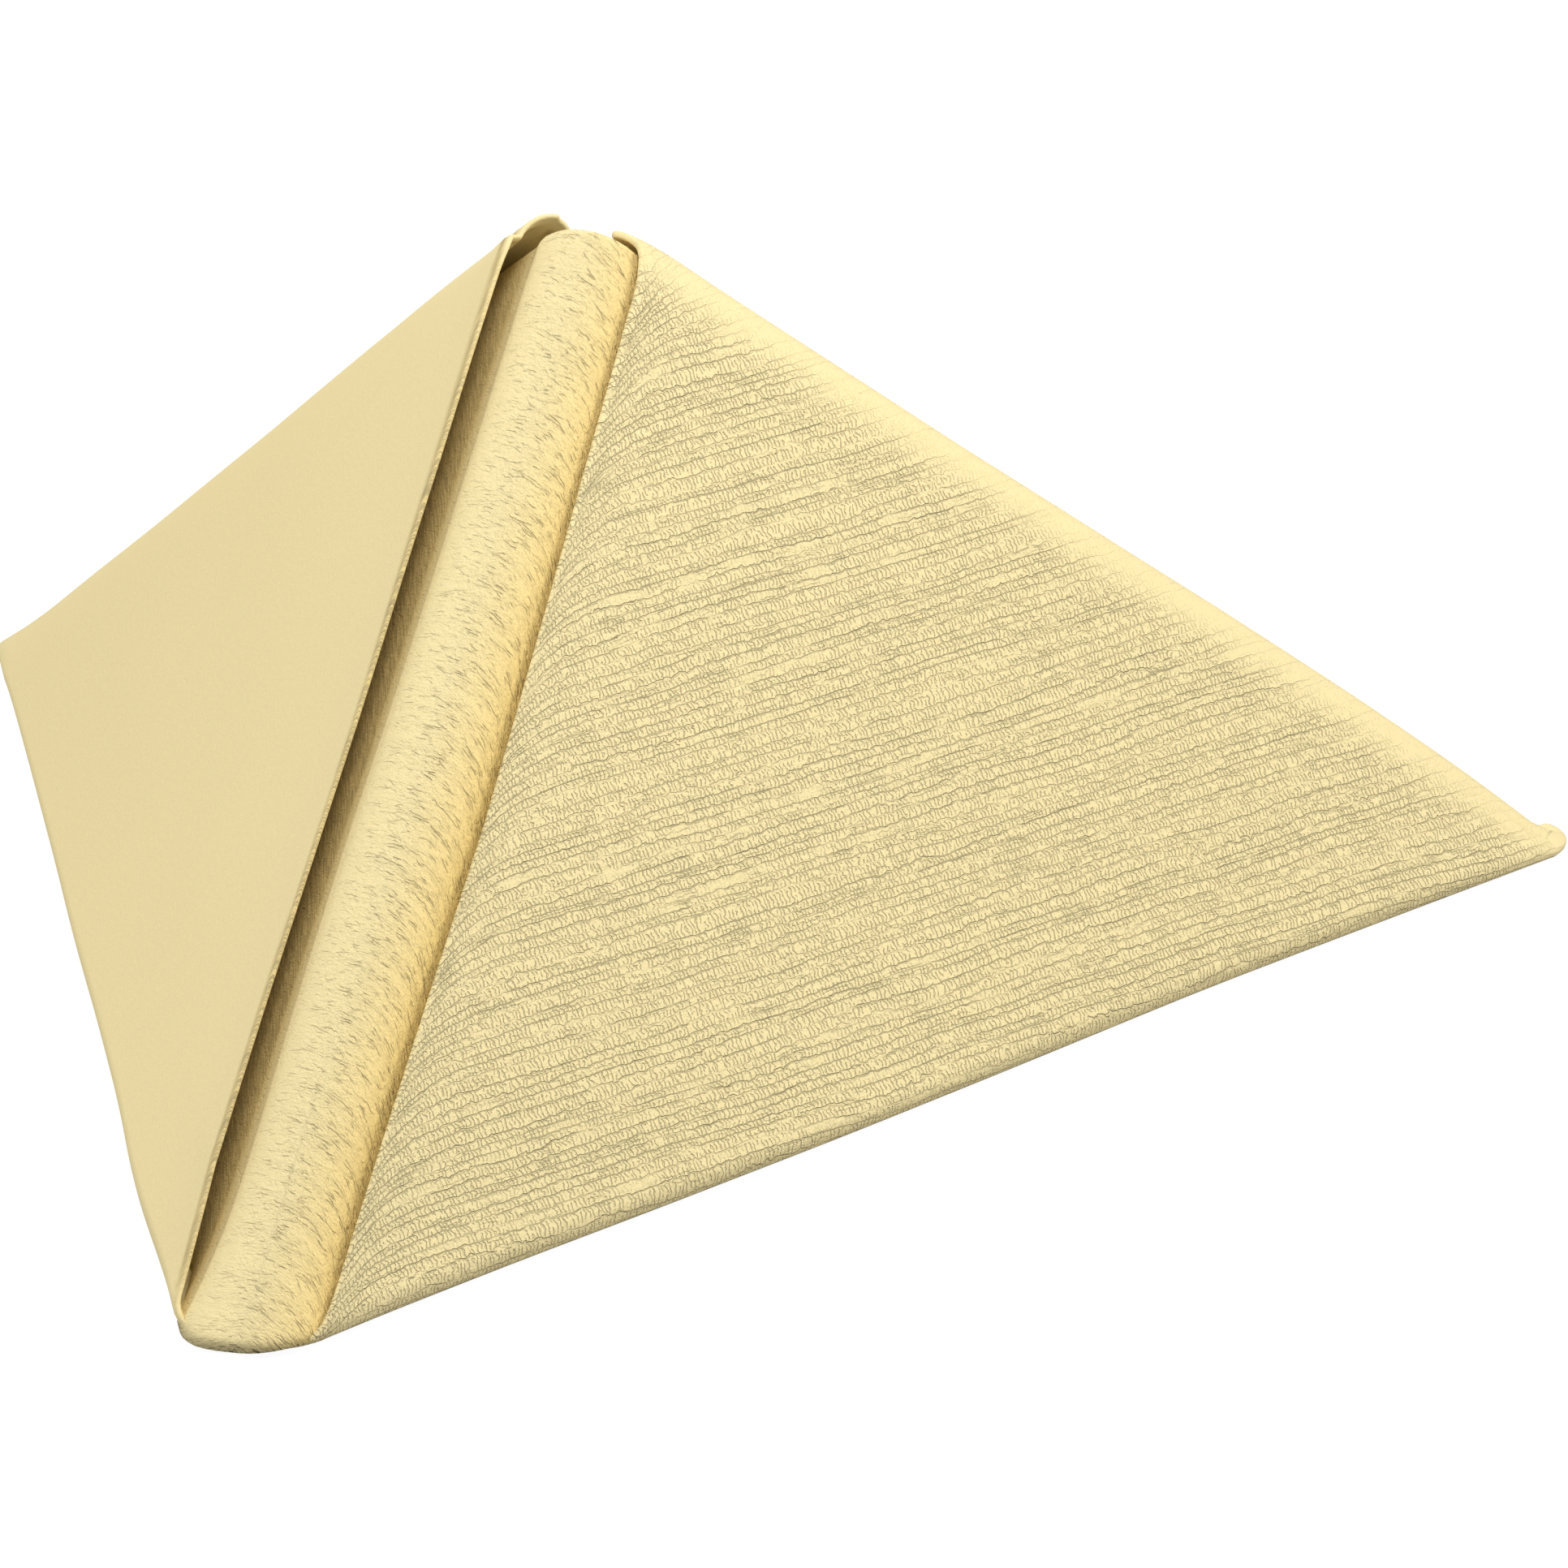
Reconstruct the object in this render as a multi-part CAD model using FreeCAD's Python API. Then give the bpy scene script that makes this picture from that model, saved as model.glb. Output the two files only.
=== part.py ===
import FreeCAD, Part
import math
import os
from FreeCAD import Vector

# A square paper napkin in the classic pyramid fold, standing as a two-winged tent, all lengths in mm.
# The square is folded corner to corner, its two sharp corners go up to the square one as flaps, and
# the diamond is folded in half across and bent along its middle. Each wing then stands on one ground
# edge and has four leaves, each of two plies: an outer flap, the outer base, the inner base and an
# inner flap. The base runs over the rounded front ridge, where the flaps leave a strip of it bare.
# +Z is up, the ridge faces -Y, the tent opens to +Y, and the origin is below the middle of the box.

# Driving dimensions
sheet_side = 400.0        # one side of the square sheet, unfolded
ply_thickness = 0.4       # one ply of the soft sheet, so a leaf of two plies is twice that
base_gap = 0.6            # air between the two base leaves
flap_gap = 1.6            # air between a flap and the base leaf under it
opening_angle = 54.8      # degrees between the two ground edges, seen from above
ridge_radius = 7.0        # outside radius of the rounded ridge strip
flap_setback = 1.5        # bare flat between the ridge's bend and a flap's edge
rim_rounding = 0.3        # rounding of a flap's folded edge
foot_depth = 0.15         # how far the ground fold is pressed flat where it stands
front_lip = 0.5           # how far the ground fold shows in front of the ridge's foot

# Leaves and their distances from the middle of the stack
leaf = 2 * ply_thickness
base_inside = base_gap / 2
base_outside = base_inside + leaf
flap_inside = base_outside + flap_gap
flap_outside = flap_inside + leaf

# Corners of the folded triangle: the front corner is at zero and the apex above the middle line
ground_edge = sheet_side / 2
crease_length = ground_edge / math.sqrt(2)
half_opening = math.radians(opening_angle) / 2
apex_back = ground_edge / (2 * math.cos(half_opening))
apex_height = math.sqrt(crease_length ** 2 - apex_back ** 2)
apex = Vector(0, apex_back, apex_height)
front = Vector(0, 0, 0)
tip = Vector(ground_edge * math.sin(half_opening), ground_edge * math.cos(half_opening), 0)

# Directions in the right wing: along its top crease, down the ridge, out of the wing, along the
# ground edge and up the wing from that edge
along = (tip - apex).normalize()
down = (front - apex).normalize()
out = down.cross(along).normalize()
edge = (along - down).normalize()
up = (along + down).normalize() * -1
lean_sine = up.z
lean_cosine = out.z

# The ridge bends by what is left of a straight angle, half of it on each side
half_turn = (math.pi - along.getAngle(Vector(-along.x, along.y, along.z))) / 2
middle_radius = ridge_radius - base_outside
bend_start = middle_radius * math.tan(half_turn)

# The ground fold joins the outer flap to the outer base leaf and touches the ground
fold_radius = (flap_outside - base_inside) / 2
fold_out = (flap_outside + base_inside) / 2
fold_up = (fold_radius - foot_depth - fold_out * lean_cosine) / lean_sine

# In plan the ground fold goes round the front corner in an arc, whose crown is hidden behind the foot
# of the ridge but for its lip
slope_sine = apex_height / crease_length
slope_cosine = apex_back / crease_length
fold_height = fold_radius - foot_depth
ridge_shift = ridge_radius - middle_radius / math.cos(half_turn)
ridge_crown = (fold_height * slope_cosine - ridge_shift) / slope_sine
fold_crown = ridge_crown + fold_radius - front_lip
fold_plan_offset = fold_out * lean_sine - fold_up * lean_cosine
half_sine = math.sin(half_opening)
corner_radius = (fold_crown * half_sine + fold_plan_offset) / (1 - half_sine)
corner_y = fold_crown + corner_radius
fold_start = corner_y * math.cos(half_opening)

# Cutting blocks reach this far, and leaves are first drawn this long, past everything that is kept
reach = sheet_side
drawn_length = 1.2 * crease_length
same_place = 1e-6         # two points closer than this are taken as one


def wing_point(crease_distance, ridge_distance, out_distance):
    return apex + along * crease_distance + down * ridge_distance + out * out_distance


def edge_point(edge_distance, up_distance, out_distance):
    return front + edge * edge_distance + up * up_distance + out * out_distance


def hairpin(centre, open_way, side_way, inside, outside, arm):
    """Section of a leaf that turns back on itself, with two arms that run the open way."""
    outer_a = centre + side_way * outside
    outer_b = centre - side_way * outside
    inner_a = centre + side_way * inside
    inner_b = centre - side_way * inside
    outer_arc = Part.Arc(outer_a, centre - open_way * outside, outer_b).toShape()
    inner_arc = Part.Arc(inner_a, centre - open_way * inside, inner_b).toShape()
    if arm == 0:
        ends = [Part.makeLine(outer_b, inner_b), Part.makeLine(inner_a, outer_a)]
        return Part.Face(Part.Wire(Part.__sortEdges__([outer_arc, inner_arc] + ends)))
    far = open_way * arm
    lines = [
        Part.makeLine(outer_b, outer_b + far),
        Part.makeLine(outer_b + far, inner_b + far),
        Part.makeLine(inner_b + far, inner_b),
        Part.makeLine(inner_a, inner_a + far),
        Part.makeLine(inner_a + far, outer_a + far),
        Part.makeLine(outer_a + far, outer_a),
    ]
    return Part.Face(Part.Wire(Part.__sortEdges__([outer_arc, inner_arc] + lines)))


def block(corner, side_a, side_b, side_c):
    outline = [corner, corner + side_a, corner + side_a + side_b, corner + side_b, corner]
    return Part.Face(Part.makePolygon(outline)).extrude(side_c)


def leaf_over_crease(start, inside, outside):
    """A leaf that hangs over the top crease on both sides of the wing, from a distance off the ridge."""
    section = hairpin(wing_point(start, 0, 0), down, out, inside, outside, drawn_length)
    return section.extrude(along * (drawn_length - start))


def round_rim(leaf_shape, start):
    """The flap's edge along the ridge is a fold of the doubled sheet, so it is round."""
    rim_plane = wing_point(start, 0, 0)
    shortest_rim = 2 * leaf
    rim_edges = []
    for candidate in leaf_shape.Edges:
        middle = candidate.valueAt((candidate.FirstParameter + candidate.LastParameter) / 2)
        ends = [vertex.Point for vertex in candidate.Vertexes] + [middle]
        in_plane = max(abs((point - rim_plane).dot(along)) for point in ends) < same_place
        if in_plane and candidate.Length > shortest_rim:
            rim_edges.append(candidate)
    return leaf_shape.makeFillet(rim_rounding, rim_edges)


def ground_fold_section():
    centre = edge_point(fold_start, fold_up, fold_out)
    return hairpin(centre, up, out, fold_radius - leaf, fold_radius, 0)


def right_wing():
    flap_start = bend_start + flap_setback
    flap = round_rim(leaf_over_crease(flap_start, flap_inside, flap_outside), flap_start)
    base = leaf_over_crease(bend_start, base_inside, base_outside)

    # The two outer leaves stop at the ground fold, which carries on from them
    below_fold = block(edge_point(-reach, fold_up - reach, 0), edge * (3 * reach), up * reach, out * reach)
    ground_fold = ground_fold_section().extrude(edge * (ground_edge - fold_start))
    return base.cut(below_fold), flap.cut(below_fold), ground_fold


def front_ridge():
    section = hairpin(wing_point(bend_start, 0, 0), down, out, base_inside, base_outside, drawn_length)
    return section.revolve(wing_point(bend_start, 0, -middle_radius), down, 2 * math.degrees(half_turn))


def front_corner():
    corner_turn = 180 - opening_angle
    return ground_fold_section().revolve(Vector(0, corner_y, 0), Vector(0, 0, 1), -corner_turn)


def mirrored(shape):
    return shape.mirror(Vector(0, 0, 0), Vector(1, 0, 0))


def space_above(height):
    return Part.makeBox(4 * reach, 4 * reach, 2 * reach, Vector(-2 * reach, -2 * reach, height))


# The ridge ends where the ground fold takes over, and everything else ends at the ground
base_wing, flap_wing, fold_wing = right_wing()
napkin = front_ridge().common(space_above(fold_height))
for piece in (base_wing, mirrored(base_wing), front_corner(), fold_wing, mirrored(fold_wing),
              flap_wing, mirrored(flap_wing)):
    napkin = napkin.fuse(piece.common(space_above(0)))
napkin = napkin.removeSplitter()

# The origin goes below the middle of the box that holds the napkin
box = napkin.optimalBoundingBox(True, False)
napkin.translate(Vector(-(box.XMin + box.XMax) / 2, -(box.YMin + box.YMax) / 2, -box.ZMin))

os.makedirs("parts", exist_ok=True)
napkin.exportStep("parts/napkin.step")
print("solids", len(napkin.Solids), "valid", napkin.isValid(), "volume", round(napkin.Volume, 1))
print("box", [round(value, 2) for value in (box.XLength, box.YLength, box.ZLength)])
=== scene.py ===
import bpy
import numpy as np
from mathutils import Matrix, Vector


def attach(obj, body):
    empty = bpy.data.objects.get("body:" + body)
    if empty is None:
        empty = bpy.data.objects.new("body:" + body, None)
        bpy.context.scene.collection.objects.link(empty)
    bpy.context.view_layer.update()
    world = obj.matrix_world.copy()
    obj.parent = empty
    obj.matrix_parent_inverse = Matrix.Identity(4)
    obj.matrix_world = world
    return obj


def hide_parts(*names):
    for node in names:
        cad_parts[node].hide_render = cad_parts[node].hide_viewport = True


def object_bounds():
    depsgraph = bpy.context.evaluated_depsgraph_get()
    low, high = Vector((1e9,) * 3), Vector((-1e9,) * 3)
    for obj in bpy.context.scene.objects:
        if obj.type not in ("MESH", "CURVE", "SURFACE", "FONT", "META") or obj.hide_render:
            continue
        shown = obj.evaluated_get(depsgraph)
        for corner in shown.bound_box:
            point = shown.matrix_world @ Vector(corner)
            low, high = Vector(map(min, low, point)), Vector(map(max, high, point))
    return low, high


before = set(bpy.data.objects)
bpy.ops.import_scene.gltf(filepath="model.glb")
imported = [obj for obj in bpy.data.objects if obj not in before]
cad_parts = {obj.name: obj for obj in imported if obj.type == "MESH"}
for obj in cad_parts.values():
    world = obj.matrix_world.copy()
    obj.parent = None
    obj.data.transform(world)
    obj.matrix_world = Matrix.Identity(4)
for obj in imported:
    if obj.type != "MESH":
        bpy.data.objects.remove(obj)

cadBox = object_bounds()
print("frame loaded, nodes:", sorted(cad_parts))

# what a user would change in the fold, lengths in metres
fold = {
    "sheetSide": 0.400,       # one side of the square sheet, unfolded
    "leaf": 0.0008,           # two layers of the soft sheet
    "baseGap": 0.0006,        # air between the two base leaves
    "flapGap": 0.0016,        # air between a flap and the base leaf under it
    "openingAngle": 54.8,     # degrees between the two ground edges, seen from above
    "ridgeRadius": 0.0070,    # outside radius of the ridge strip
    "flapSetback": 0.0015,    # bare flat between the ridge's bend and a flap's edge
    "bandHeight": 0.0002,     # straight part of the ground fold's side
    "bandLean": 0.0,          # how far that side leans in, degrees
    "bandTopBend": 0.0016,    # radius of the bend above it
    "bandFootBend": 0.0016,   # and of the one below it
    "footBulge": 0.0008,      # how far the flap stands out over the ground fold
    "bulgeHeight": 0.015,     # how far up the wing it takes to come back in
    "lip": 0.0026,            # how far down the ground fold the flap's edge lies at the front
    "lipDeeper": 0.0008,      # how much further down it lies at the very front
    "rimCurve": 0.0020,       # how gently a flap's edge turns from the ridge into the corner
    "footDepth": 0.00015,     # how far the solid's ground fold is pressed flat where it stands
    "frontLip": 0.0005,       # how far it shows in front of the ridge's foot
}

side = fold["sheetSide"]
leaf = fold["leaf"]
halfLeaf = leaf / 2
groundEdge = side / 2
creaseLength = groundEdge / np.sqrt(2)
halfOpening = np.radians(fold["openingAngle"]) / 2
apexBack = groundEdge / (2 * np.cos(halfOpening))
apexHeight = np.sqrt(creaseLength ** 2 - apexBack ** 2)
baseOut = fold["baseGap"] / 2 + halfLeaf                    # the stack's middle to a base leaf's
flapOut = baseOut + leaf + fold["flapGap"]                  # and to a flap's
apex = np.array([0.0, apexBack, apexHeight])
tip = groundEdge * np.array([np.sin(halfOpening), np.cos(halfOpening), 0.0])
along = (tip - apex) / creaseLength                         # down the top crease of the right wing
down = -apex / creaseLength                                 # down the ridge
out = np.cross(down, along)                                 # out of the right wing
edge = (along - down) / np.sqrt(2)                          # along the ground edge
up = -(along + down) / np.sqrt(2)                           # up the wing, square to the ground edge
leanSine = up[2]
leanCosine = out[2]
mirrorX = np.array([-1.0, 1.0, 1.0])
halfTurn = (np.pi - np.arccos(along @ (along * mirrorX))) / 2
middleRadius = fold["ridgeRadius"] - baseOut - halfLeaf     # of the middle of the stack, over the ridge
bendStart = middleRadius * np.tan(halfTurn)
rimStart = bendStart + fold["flapSetback"]
slopeSine = apexHeight / creaseLength
slopeCosine = apexBack / creaseLength

# the soft ground fold in section: a heading that turns from down the wing to up the base leaf, added up
# along its length, which gives how far out and how high each point of the leaf's middle lies
wingLean = np.degrees(np.arcsin(leanSine))
bandHeading = 90 + fold["bandLean"]
topLength = fold["bandTopBend"] * np.radians(bandHeading - wingLean)
footLength = fold["bandFootBend"] * np.radians(180 + wingLean - bandHeading)
sideLength = topLength + fold["bandHeight"]
bandLengths = np.array([0.0, topLength, sideLength, sideLength + footLength])
headings = [wingLean, bandHeading, bandHeading, 180 + wingLean]
bandStations = np.concatenate([
    np.linspace(bandLengths[0], bandLengths[1], 5)[:-1],
    np.linspace(bandLengths[1], bandLengths[2], 4)[:-1],
    np.linspace(bandLengths[2], bandLengths[3], 8),
])
fineStations = np.linspace(0, bandLengths[3], 400)
fineHeading = -np.radians(np.interp(fineStations, bandLengths, headings))
fineStep = fineStations[1]
fineOutward = np.cumsum(np.cos(fineHeading)) * fineStep
fineHeight = np.cumsum(np.sin(fineHeading)) * fineStep
bandTop = halfLeaf - fineHeight.min()                       # height at which the wing turns into the fold
footOut = flapOut + fold["footBulge"]
flapFoot = (bandTop - footOut * leanCosine) / leanSine      # the same, measured up the wing
fineOutward = fineOutward + footOut * leanSine - flapFoot * leanCosine
fineHeight = fineHeight + bandTop
bandOutward = np.interp(bandStations, fineStations, fineOutward)
bandHeight = np.interp(bandStations, fineStations, fineHeight)

# the front corner: the ground fold goes round an upright axis, with its crown at the foot of the ridge
cadFoldRadius = (flapOut - baseOut) / 2 + halfLeaf
cadFoldOut = (flapOut + baseOut) / 2
foldHeight = cadFoldRadius - fold["footDepth"]
ridgeShift = fold["ridgeRadius"] - middleRadius / np.cos(halfTurn)
ridgeCrown = (foldHeight * slopeCosine - ridgeShift) / slopeSine
foldUp = (foldHeight - cadFoldOut * leanCosine) / leanSine
foldPlanOffset = cadFoldOut * leanSine - foldUp * leanCosine
halfSine = np.sin(halfOpening)
foldCrown = ridgeCrown + cadFoldRadius - fold["frontLip"]
cornerRadius = (foldCrown * halfSine + foldPlanOffset) / (1 - halfSine)
cornerY = foldCrown + cornerRadius
foldStart = cornerY * np.cos(halfOpening)
cornerTurn = np.pi / 2 - halfOpening
levelOut = np.array([np.cos(halfOpening), -halfSine, 0.0])  # level and square to the right ground edge
upright = np.array([0.0, 0.0, 1.0])
originShift = np.array([0.0, cadBox[0][1] - (ridgeCrown - fold["frontLip"]), 0.0])
print("fold worked out: ground edge", round(groundEdge, 4), "apex height", round(float(apexHeight), 4))


def smoothNoise(a, b, cell, seed):
    # value noise between -1 and 1: random values on a lattice, joined by a smooth step
    table = np.random.default_rng(seed).uniform(-1, 1, (64, 64))
    u, v = a / cell, b / cell
    i, j = np.floor(u).astype(int), np.floor(v).astype(int)
    s, t = u - i, v - j
    s = s * s * s * (s * (s * 6 - 15) + 10)
    t = t * t * t * (t * (t * 6 - 15) + 10)
    low = table[i % 64, j % 64] * (1 - s) + table[(i + 1) % 64, j % 64] * s
    high = table[i % 64, (j + 1) % 64] * (1 - s) + table[(i + 1) % 64, (j + 1) % 64] * s
    return low * (1 - t) + high * t


def smoothStep(share):
    # from 0 to 1 with level ends
    return share * share * (3 - 2 * share)


def spread(*vectors):
    # numbers on a grid times a vector, added up
    return sum(np.asarray(amount)[..., None] * vector for amount, vector in vectors)


def roundTheCorner(points, edgeDistance):
    # a point past the start of the corner is turned about the corner's upright axis instead
    short = np.clip(foldStart - edgeDistance, 0, None)
    points = points + short[..., None] * edge
    angle = -short / foldStart * cornerTurn
    x, y = points[..., 0], points[..., 1] - cornerY
    turned = points.copy()
    turned[..., 0] = x * np.cos(angle) - y * np.sin(angle)
    turned[..., 1] = x * np.sin(angle) + y * np.cos(angle) + cornerY
    return turned


def flapSurface(x, y):
    # x along the right ground edge and y up the wing, on the sheet laid flat: the wing's plane, which stands
    # out a little towards its foot, and below that the section of the ground fold
    standOut = flapOut + fold["footBulge"] * np.exp(-np.clip(y - flapFoot, 0, None) / fold["bulgeHeight"])
    plane = spread((x, edge), (y, up), (standOut, out))
    outward = np.interp(flapFoot - y, fineStations, fineOutward)
    height = np.interp(flapFoot - y, fineStations, fineHeight)
    turned = spread((x, edge), (outward, levelOut), (height, upright))
    return roundTheCorner(np.where((y >= flapFoot)[..., None], plane, turned), x)


def gridQuads(index):
    # the faces between the rows and columns of a grid of vertex numbers
    return np.stack([index[:-1, :-1], index[1:, :-1], index[1:, 1:], index[:-1, 1:]], -1).reshape(-1, 4)


def surfaceNormals(points, quads):
    # at each vertex, the faces' normals weighted by their area
    corners = points[quads]
    faceNormals = np.cross(corners[:, 2] - corners[:, 0], corners[:, 3] - corners[:, 1])
    normals = np.zeros_like(points)
    for k in range(4):
        np.add.at(normals, quads[:, k], faceNormals)
    return normals / np.maximum(np.linalg.norm(normals, axis=1, keepdims=True), 1e-12)


def thicken(points, quads, halfThickness, values):
    # two copies of the leaf's middle, moved apart along its normals, which share the vertices at its edges
    normals = surfaceNormals(points, quads)
    free = halfThickness > 0
    inner = np.arange(len(points))
    inner[free] = len(points) + np.arange(free.sum())
    moved = normals * halfThickness[:, None]
    allPoints = np.concatenate([points + moved, (points - moved)[free]])
    allQuads = np.concatenate([quads, inner[quads][:, ::-1]])
    allValues = {name: np.concatenate([value, value[free]]) for name, value in values.items()}
    return allPoints, allQuads, allValues


def roundedEdge(distance, bead=0.0):
    # half thickness near a free edge: a quarter circle, with a slight bead behind it where there is a fold
    near = np.clip(distance / halfLeaf, 0, 1)
    swell = 1 + bead * np.exp(-((distance - leaf * 0.7) / (leaf * 0.6)) ** 2)
    return halfLeaf * np.sqrt(np.clip(1 - (1 - near) ** 2, 0, 1)) * swell


# how the sheet settles away from its straight folds, right and left, in millimetres: the crest is raised by
# crestRise at the distances crestAt from the apex, and the ground fold is moved out by groundOut at the
# distances groundAt from the corner
settle = {
    1: {
        "crestAt": [5, 17.5, 30, 42.5, 55, 67.6, 80, 92.6, 105, 117.6, 130, 138, 147],
        "crestRise": [0.1, -0.37, -0.46, -0.46, -0.37, -0.18, -0.09, 0.28, 0.28, 0, -0.55, -1.25, -2.1],
        "groundAt": [0, 20, 40, 60, 87, 110, 144, 165, 188, 200],
        "groundOut": [0, -0.5, -0.4, 0.1, 0.45, 0.3, -0.2, 0.2, 0.7, 0.8],
    },
    -1: {
        "crestAt": [2, 9, 26, 49, 72, 95, 119, 133, 139, 144],
        "crestRise": [0.0, 0.2, 0.75, 0.3, -0.3, -0.6, -0.35, -0.6, 0.0, 0.1],
        "groundAt": [0, 22, 31, 45, 66, 89, 112, 133, 178, 200],
        "groundOut": [0, -0.2, 0.2, 0.45, -0.25, -0.4, -0.3, -0.55, -0.8, -1.1],
    },
}


def smoothCurve(values, stations, amounts):
    # a curve through the amounts, rounded by averaging it over a moving window; the values and the result
    # are in metres, the stations and the amounts in millimetres
    samples = 9
    halfWindow = 7
    offsets = np.linspace(-1, 1, samples) * halfWindow
    return sum(np.interp(values * 1000 + offset, stations, amounts) for offset in offsets) / (1000 * samples)


def settlePoints(points, sideSign):
    # moved up by crestRise times the share of the crest's height, and out by groundOut times the rest
    lowestCrest = 0.004         # the crest counts as no lower than this at the tips
    middleWidth = 0.006         # nothing is raised on the middle line, and everything from here on
    flip = np.array([sideSign, 1, 1])
    local = points * flip
    fromApex = np.clip((local - apex) @ along, 0, creaseLength)
    alongGround = np.clip(local @ edge, 0, groundEdge)
    crest = np.maximum(apexHeight - fromApex * slopeSine, lowestCrest)
    high = np.clip(local[:, 2] / crest, 0, 1.1)
    look = settle[sideSign]
    sideways = np.clip(np.abs(local[:, 0]) / middleWidth, 0, 1)
    raised = smoothCurve(fromApex, look["crestAt"], look["crestRise"]) * high * sideways
    outward = smoothCurve(alongGround, look["groundAt"], look["groundOut"]) * np.clip(1 - high, 0, 1)
    return (local + spread((raised, upright), (outward, levelOut))) * flip


# what a user would change in the two flaps, lengths in metres
flaps = {
    "right": {
        "side": 1,
        "rimTop": -0.0009,      # how far the flap's edge is off its straight line, near the apex
        "rimMiddle": 0.0006,    # half way down
        "rimFoot": 0.0,         # and near the corner
        "mouthReach": 0.0038,   # how far the crease's top goes on towards the ridge
        "mouthFlare": 0.13,     # how much wider the crease is at its mouth, as a share
        "mouthTurn": 0.0008,    # how much of the reach the flap's edge has where it meets the crease
        "mouthDrop": 0.0013,    # how far the mouth hangs down
        "tipReach": 0.0042,     # how far the ground fold goes on past the end of the crease
        "tipFlat": 0.55,        # how much flatter the fold is at the tip, as a share
        "cornerFlat": 0.25,     # and at the front corner
        "cornerTuck": 0.0014,   # how far it goes in under the strip's foot there
        "lines": 1.0,           # depth of the embossed lines, of the crinkle and of the slanted marks
        "crinkle": 0.50,
        "ladder": 1.0,
        "skew": 0.038,          # turn of the lines from the ground edge
        "sweep": 0.0036,        # how far they sweep down next to the flap's edge
        "sweepWidth": 0.0020,   # and how far from it
        "fadeWidth": 0.0055,    # distance from the crest over which they fade in
        "lift": 0.0003,         # how far the flap's edge stands off the base
        "liftWidth": 0.006,     # and how far from it the flap is down again
        "wave": 0.0004,         # height of the broad waves in the sheet
        "seed": 3,              # which waves they are
        "bead": 0.25,           # how much thicker the flap is just behind its edge
        "rimThin": 0.0,         # and how much thinner at it
        "rimWarmLight": 0.0,       # how much painted warm light lies along the flap's edge
        "rimShade": 0.0,        # and how much painted shade
    },
    "left": {
        "side": -1,
        "rimTop": -0.0007,
        "rimMiddle": 0.0002,
        "rimFoot": -0.0007,
        "mouthReach": 0.0031,
        "mouthFlare": 0.22,
        "mouthTurn": 0.0010,
        "mouthDrop": 0.0,
        "tipReach": -0.0004,
        "tipFlat": 0.2,
        "cornerFlat": 0.25,
        "cornerTuck": 0.0014,
        "lines": 0.03,
        "crinkle": 0.20,
        "ladder": 0.0,
        "skew": 0.0,
        "sweep": 0.0,
        "sweepWidth": 0.005,
        "fadeWidth": 0.008,
        "lift": 0.0010,
        "liftWidth": 0.007,
        "wave": 0.0003,
        "seed": 8,
        "bead": 0.0,
        "rimThin": 0.30,
        "rimWarmLight": 0.30,
        "rimShade": 0.85,
    },
}


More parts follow.
